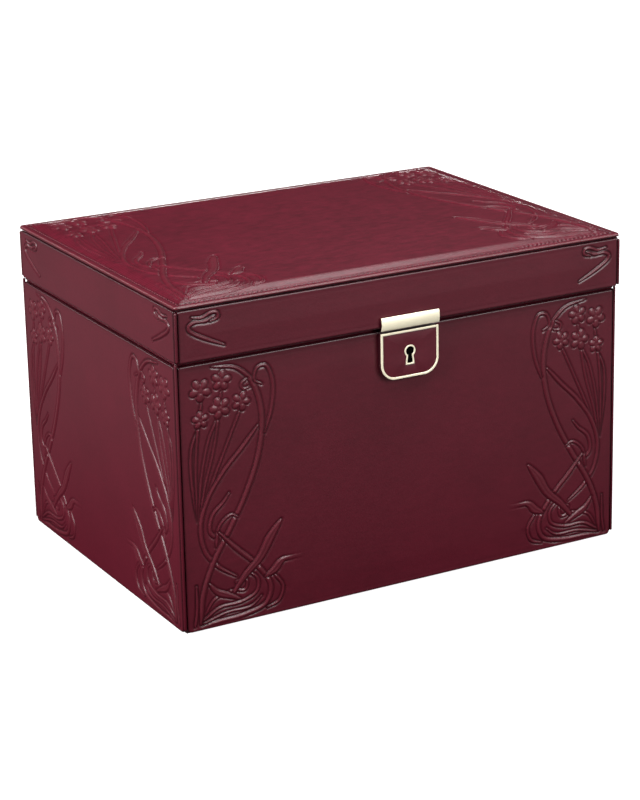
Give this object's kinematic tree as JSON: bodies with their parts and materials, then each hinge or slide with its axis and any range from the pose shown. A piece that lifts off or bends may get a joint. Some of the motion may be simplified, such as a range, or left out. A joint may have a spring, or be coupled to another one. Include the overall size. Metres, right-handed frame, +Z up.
{
  "type": "jewellery case",
  "caption": "Lidded burgundy leather jewellery case with hinged padded lid, inside mirror, lift-out tray over deep compartments, and a small turning lock behind a keyhole plate.",
  "frame": {"origin": "on the floor, under the middle of the closed case", "axes": "+X to the right along the long side, -Y to the front with the lock, +Z up"},
  "size_m": [0.2908, 0.2244, 0.1901],
  "materials": {
    "burgundy_leather": "fine grain, semi-gloss",
    "box_board": "fibreboard painted dark wine",
    "wine_suede": "short napped suede cloth",
    "base_felt": "pressed felt",
    "pale_gold": "polished pale gold plate",
    "lock_steel": "bright zinc plate",
    "mirror_silver": "silvered glass"
  },
  "bodies": {
    "case": {"back_board": "box_board", "back_leather": "burgundy_leather", "base_board": "box_board", "base_felt": "base_felt", "front_board": "box_board", "front_leather": "burgundy_leather", "hinge_leaf_case_left": "pale_gold", "hinge_leaf_case_right": "pale_gold", "hinge_pin_left": "lock_steel", "hinge_pin_right": "lock_steel", "left_board": "box_board", "left_leather": "burgundy_leather", "lining_back": "wine_suede", "lining_floor": "wine_suede", "lining_front": "wine_suede", "lining_left": "wine_suede", "lining_right": "wine_suede", "lock_case": "lock_steel", "lock_cover": "lock_steel", "lock_plate": "pale_gold", "lock_plate_inlay": "burgundy_leather", "lower_divider_deep": "wine_suede", "lower_divider_wide": "wine_suede", "right_board": "box_board", "right_leather": "burgundy_leather", "rim_binding": "burgundy_leather", "tray_ledge_left": "wine_suede", "tray_ledge_right": "wine_suede"},
    "lid": {"hinge_leaf_lid_left": "pale_gold", "hinge_leaf_lid_right": "pale_gold", "lid_back_board": "box_board", "lid_back_leather": "burgundy_leather", "lid_front_board": "box_board", "lid_front_leather": "burgundy_leather", "lid_left_board": "box_board", "lid_left_leather": "burgundy_leather", "lid_lining": "wine_suede", "lid_right_board": "box_board", "lid_right_leather": "burgundy_leather", "lid_top_board": "box_board", "lid_top_leather": "burgundy_leather", "mirror_frame": "burgundy_leather", "mirror_glass": "mirror_silver", "strike_bar": "pale_gold", "strike_tongue": "lock_steel"},
    "tray": {"ring_cushion": "wine_suede", "tray_cross_divider_left": "wine_suede", "tray_cross_divider_right": "wine_suede", "tray_divider_left": "wine_suede", "tray_divider_right": "wine_suede", "tray_floor": "wine_suede", "tray_pull_left": "burgundy_leather", "tray_pull_right": "burgundy_leather", "tray_wall_back": "wine_suede", "tray_wall_front": "wine_suede", "tray_wall_left": "wine_suede", "tray_wall_right": "wine_suede"},
    "lock_cam": {"lock_cam": "lock_steel"},
    "lock_bolt": {"lock_bolt": "lock_steel"}
  },
  "joints": [
    {"name": "lid_hinge", "type": "hinge", "parent": "case", "child": "lid", "pos_m": [0, 0.1094, 0.15675], "axis": [-1, 0, 0], "range_deg": [0, 100]},
    {"name": "tray_lift", "type": "slide", "parent": "case", "child": "tray", "axis": [0, 0, 1], "range_m": [0, 0.062]},
    {"name": "lock_turn", "type": "hinge", "parent": "case", "child": "lock_cam", "pos_m": [0, -0.1002, 0.1423], "axis": [0, 1, 0], "range_deg": [0, 90]},
    {"name": "bolt_slide", "type": "slide", "parent": "case", "child": "lock_bolt", "axis": [-1, 0, 0], "range_m": [0, 0.005]}
  ],
  "couplings": [
    {"joint": "tray_lift", "follows": "lid_hinge", "m_per_rad": 0.0355},
    {"joint": "lock_turn", "follows": "bolt_slide", "rad_per_m": 314.16}
  ]
}
